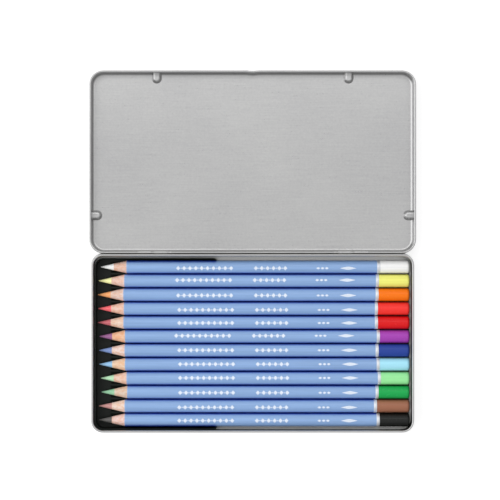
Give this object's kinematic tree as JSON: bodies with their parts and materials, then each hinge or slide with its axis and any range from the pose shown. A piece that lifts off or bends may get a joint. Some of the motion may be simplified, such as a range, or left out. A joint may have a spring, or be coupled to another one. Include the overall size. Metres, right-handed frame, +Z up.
{
  "type": "colored pencil tin",
  "caption": "Flat hinged tinplate box laid open, with a black moulded insert that holds a row of sharpened round colored pencils side by side.",
  "frame": {"origin": "middle of the base's flat underside, on the table", "axes": "+X from the pencils' points to their dipped ends, along the hinge; +Y from the base to the open lid; +Z up"},
  "size_m": [0.1838, 0.2038, 0.0115],
  "materials": {
    "tinplate": "plain tin plate with a fine satin roll finish, brighter on the curled edges",
    "black_plastic": "thin moulded sheet, smooth with a soft gloss",
    "cedar": "bare pencil wood, freshly sharpened, with a fine straight grain",
    "blue_lacquer": "glossy light blue lacquer on wood",
    "lead_white": "white pigment and wax core, dull and slightly dusty",
    "dip_white": "glossy dipped white lacquer",
    "lead_yellow": "yellow pigment and wax core, dull and slightly dusty",
    "dip_yellow": "glossy dipped yellow lacquer",
    "lead_orange": "orange pigment and wax core, dull and slightly dusty",
    "dip_orange": "glossy dipped orange lacquer",
    "lead_light_red": "light red pigment and wax core, dull and slightly dusty",
    "dip_light_red": "glossy dipped light red lacquer",
    "lead_dark_red": "dark red pigment and wax core, dull and slightly dusty",
    "dip_dark_red": "glossy dipped dark red lacquer",
    "lead_purple": "purple pigment and wax core, dull and slightly dusty",
    "dip_purple": "glossy dipped purple lacquer",
    "lead_dark_blue": "dark blue pigment and wax core, dull and slightly dusty",
    "dip_dark_blue": "glossy dipped dark blue lacquer",
    "lead_sky_blue": "sky blue pigment and wax core, dull and slightly dusty",
    "dip_sky_blue": "glossy dipped sky blue lacquer",
    "lead_light_green": "light green pigment and wax core, dull and slightly dusty",
    "dip_light_green": "glossy dipped light green lacquer",
    "lead_green": "green pigment and wax core, dull and slightly dusty",
    "dip_green": "glossy dipped green lacquer",
    "lead_brown": "brown pigment and wax core, dull and slightly dusty",
    "dip_brown": "glossy dipped brown lacquer",
    "lead_black": "black pigment and wax core, dull and slightly dusty",
    "dip_black": "glossy dipped black lacquer"
  },
  "bodies": {
    "base": {"base_pan": "tinplate", "insert_tray": "black_plastic"},
    "lid": {"lid_pan": "tinplate"},
    "pencil_white": {"lead_white": "lead_white", "casing_white": "cedar", "lacquer_white": "blue_lacquer", "cap_white": "dip_white"},
    "pencil_yellow": {"lead_yellow": "lead_yellow", "casing_yellow": "cedar", "lacquer_yellow": "blue_lacquer", "cap_yellow": "dip_yellow"},
    "pencil_orange": {"lead_orange": "lead_orange", "casing_orange": "cedar", "lacquer_orange": "blue_lacquer", "cap_orange": "dip_orange"},
    "pencil_light_red": {"lead_light_red": "lead_light_red", "casing_light_red": "cedar", "lacquer_light_red": "blue_lacquer", "cap_light_red": "dip_light_red"},
    "pencil_dark_red": {"lead_dark_red": "lead_dark_red", "casing_dark_red": "cedar", "lacquer_dark_red": "blue_lacquer", "cap_dark_red": "dip_dark_red"},
    "pencil_purple": {"lead_purple": "lead_purple", "casing_purple": "cedar", "lacquer_purple": "blue_lacquer", "cap_purple": "dip_purple"},
    "pencil_dark_blue": {"lead_dark_blue": "lead_dark_blue", "casing_dark_blue": "cedar", "lacquer_dark_blue": "blue_lacquer", "cap_dark_blue": "dip_dark_blue"},
    "pencil_sky_blue": {"lead_sky_blue": "lead_sky_blue", "casing_sky_blue": "cedar", "lacquer_sky_blue": "blue_lacquer", "cap_sky_blue": "dip_sky_blue"},
    "pencil_light_green": {"lead_light_green": "lead_light_green", "casing_light_green": "cedar", "lacquer_light_green": "blue_lacquer", "cap_light_green": "dip_light_green"},
    "pencil_green": {"lead_green": "lead_green", "casing_green": "cedar", "lacquer_green": "blue_lacquer", "cap_green": "dip_green"},
    "pencil_brown": {"lead_brown": "lead_brown", "casing_brown": "cedar", "lacquer_brown": "blue_lacquer", "cap_brown": "dip_brown"},
    "pencil_black": {"lead_black": "lead_black", "casing_black": "cedar", "lacquer_black": "blue_lacquer", "cap_black": "dip_black"}
  },
  "joints": [
    {"name": "lid_hinge", "type": "hinge", "parent": "base", "child": "lid", "pos_m": [0, 0.05087, 0.007], "axis": [-1, 0, 0], "range_deg": [-180, 0]},
    {"name": "pencil_white_lift", "type": "slide", "parent": "base", "child": "pencil_white", "axis": [0, 0, 1], "range_m": [0, 0.025]},
    {"name": "pencil_yellow_lift", "type": "slide", "parent": "base", "child": "pencil_yellow", "axis": [0, 0, 1], "range_m": [0, 0.025]},
    {"name": "pencil_orange_lift", "type": "slide", "parent": "base", "child": "pencil_orange", "axis": [0, 0, 1], "range_m": [0, 0.025]},
    {"name": "pencil_light_red_lift", "type": "slide", "parent": "base", "child": "pencil_light_red", "axis": [0, 0, 1], "range_m": [0, 0.025]},
    {"name": "pencil_dark_red_lift", "type": "slide", "parent": "base", "child": "pencil_dark_red", "axis": [0, 0, 1], "range_m": [0, 0.025]},
    {"name": "pencil_purple_lift", "type": "slide", "parent": "base", "child": "pencil_purple", "axis": [0, 0, 1], "range_m": [0, 0.025]},
    {"name": "pencil_dark_blue_lift", "type": "slide", "parent": "base", "child": "pencil_dark_blue", "axis": [0, 0, 1], "range_m": [0, 0.025]},
    {"name": "pencil_sky_blue_lift", "type": "slide", "parent": "base", "child": "pencil_sky_blue", "axis": [0, 0, 1], "range_m": [0, 0.025]},
    {"name": "pencil_light_green_lift", "type": "slide", "parent": "base", "child": "pencil_light_green", "axis": [0, 0, 1], "range_m": [0, 0.025]},
    {"name": "pencil_green_lift", "type": "slide", "parent": "base", "child": "pencil_green", "axis": [0, 0, 1], "range_m": [0, 0.025]},
    {"name": "pencil_brown_lift", "type": "slide", "parent": "base", "child": "pencil_brown", "axis": [0, 0, 1], "range_m": [0, 0.025]},
    {"name": "pencil_black_lift", "type": "slide", "parent": "base", "child": "pencil_black", "axis": [0, 0, 1], "range_m": [0, 0.025]}
  ]
}
